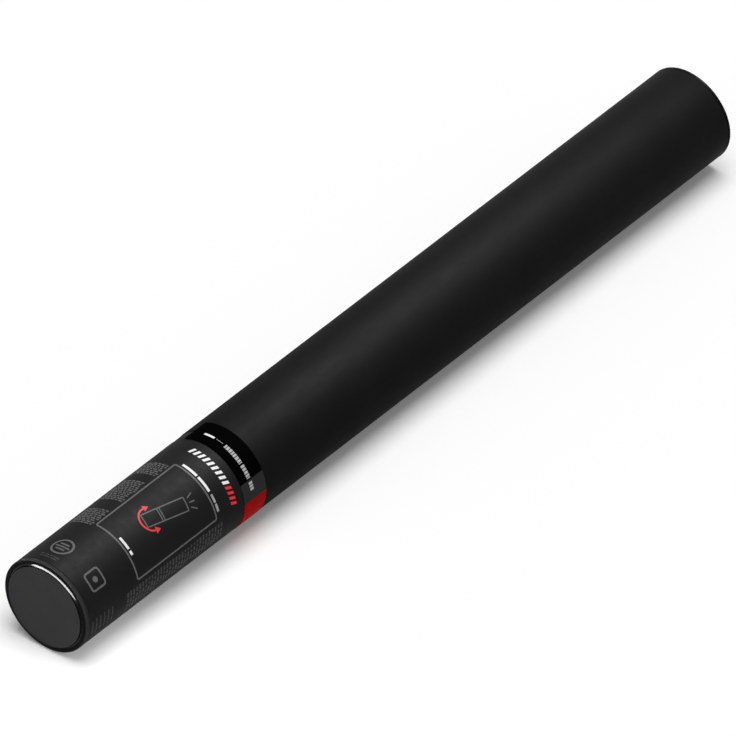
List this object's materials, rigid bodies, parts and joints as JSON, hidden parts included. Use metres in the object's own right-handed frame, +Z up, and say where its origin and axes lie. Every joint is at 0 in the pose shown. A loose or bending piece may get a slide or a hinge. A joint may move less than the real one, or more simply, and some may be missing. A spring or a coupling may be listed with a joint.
{
  "type": "confetti popper",
  "caption": "Long black tube with a twist grip at its base that releases bottled gas through a ball-lock valve and throws packs of foil slips out of the muzzle.",
  "frame": {"origin": "on the floor under the middle of the tube, which lies on its side", "axes": "+X along the tube from the base cap to the muzzle, +Z up, +Y across"},
  "size_m": [0.5, 0.0521, 0.0521],
  "materials": {
    "board_black": "black satin wrap",
    "label_print": "dark grey satin print",
    "cap_plastic": "black moulded",
    "strip_film": "black film, red tab",
    "moulding": "moulded",
    "pale_plastic": "turned",
    "rubber": "matt",
    "felt": "pressed felt",
    "card": "grey board",
    "foil_slips": "metallised film",
    "steel": "polished",
    "turned_alloy": "turned",
    "bottle_alloy": "pressed"
  },
  "bodies": {
    "barrel": {"barrel_tube": "board_black", "breech_block": "moulding", "breech_seal": "rubber", "stop_buffer": "rubber", "valve_neck": "turned_alloy", "neck_gasket": "rubber", "gas_bottle": "bottle_alloy", "fill_plug": "rubber", "thrust_washer": "pale_plastic", "snap_ring": "steel"},
    "handle": {"handle_tube": "board_black", "grip_label": "label_print", "base_cap": "cap_plastic", "base_pad": "felt", "release_collar": "moulding"},
    "stopper": {"stopper": "pale_plastic", "stopper_seals": "rubber"},
    "lock_ball_1": {"lock_ball_1": "steel"},
    "lock_ball_2": {"lock_ball_2": "steel"},
    "lock_ball_3": {"lock_ball_3": "steel"},
    "shot": {"wad": "felt", "confetti_tier_1": "foil_slips", "confetti_tier_2": "foil_slips", "confetti_tier_3": "foil_slips", "top_disc": "card"},
    "muzzle_cap": {"muzzle_cap": "cap_plastic"},
    "safety_strip": {"safety_strip": "strip_film"}
  },
  "joints": [
    {"name": "handle_twist", "type": "hinge", "parent": "barrel", "child": "handle", "pos_m": [0, 0, 0.026], "axis": [1, 0, 0], "range_deg": [0, 60]},
    {"name": "stopper_release", "type": "slide", "parent": "barrel", "child": "stopper", "axis": [1, 0, 0], "range_m": [0, 0.008]},
    {"name": "lock_ball_1_lift", "type": "slide", "parent": "barrel", "child": "lock_ball_1", "axis": [0, 0, 1], "range_m": [0, 0.0021]},
    {"name": "lock_ball_2_lift", "type": "slide", "parent": "barrel", "child": "lock_ball_2", "axis": [0, -0.866, -0.5], "range_m": [0, 0.0021]},
    {"name": "lock_ball_3_lift", "type": "slide", "parent": "barrel", "child": "lock_ball_3", "axis": [0, 0.866, -0.5], "range_m": [0, 0.0021]},
    {"name": "shot_travel", "type": "slide", "parent": "barrel", "child": "shot", "axis": [1, 0, 0], "range_m": [0, 0.352]},
    {"name": "muzzle_cap_off", "type": "slide", "parent": "barrel", "child": "muzzle_cap", "axis": [1, 0, 0], "range_m": [0, 0.352]},
    {"name": "strip_peel", "type": "slide", "parent": "barrel", "child": "safety_strip", "axis": [0, -0.848, 0.5299], "range_m": [0, 0.06]}
  ],
  "couplings": [
    {"joint": "stopper_release", "follows": "handle_twist", "m_per_rad": 0.0076394},
    {"joint": "lock_ball_1_lift", "follows": "handle_twist", "m_per_rad": 0.0020053},
    {"joint": "lock_ball_2_lift", "follows": "handle_twist", "m_per_rad": 0.0020053},
    {"joint": "lock_ball_3_lift", "follows": "handle_twist", "m_per_rad": 0.0020053},
    {"joint": "muzzle_cap_off", "follows": "shot_travel", "ratio": 1}
  ]
}
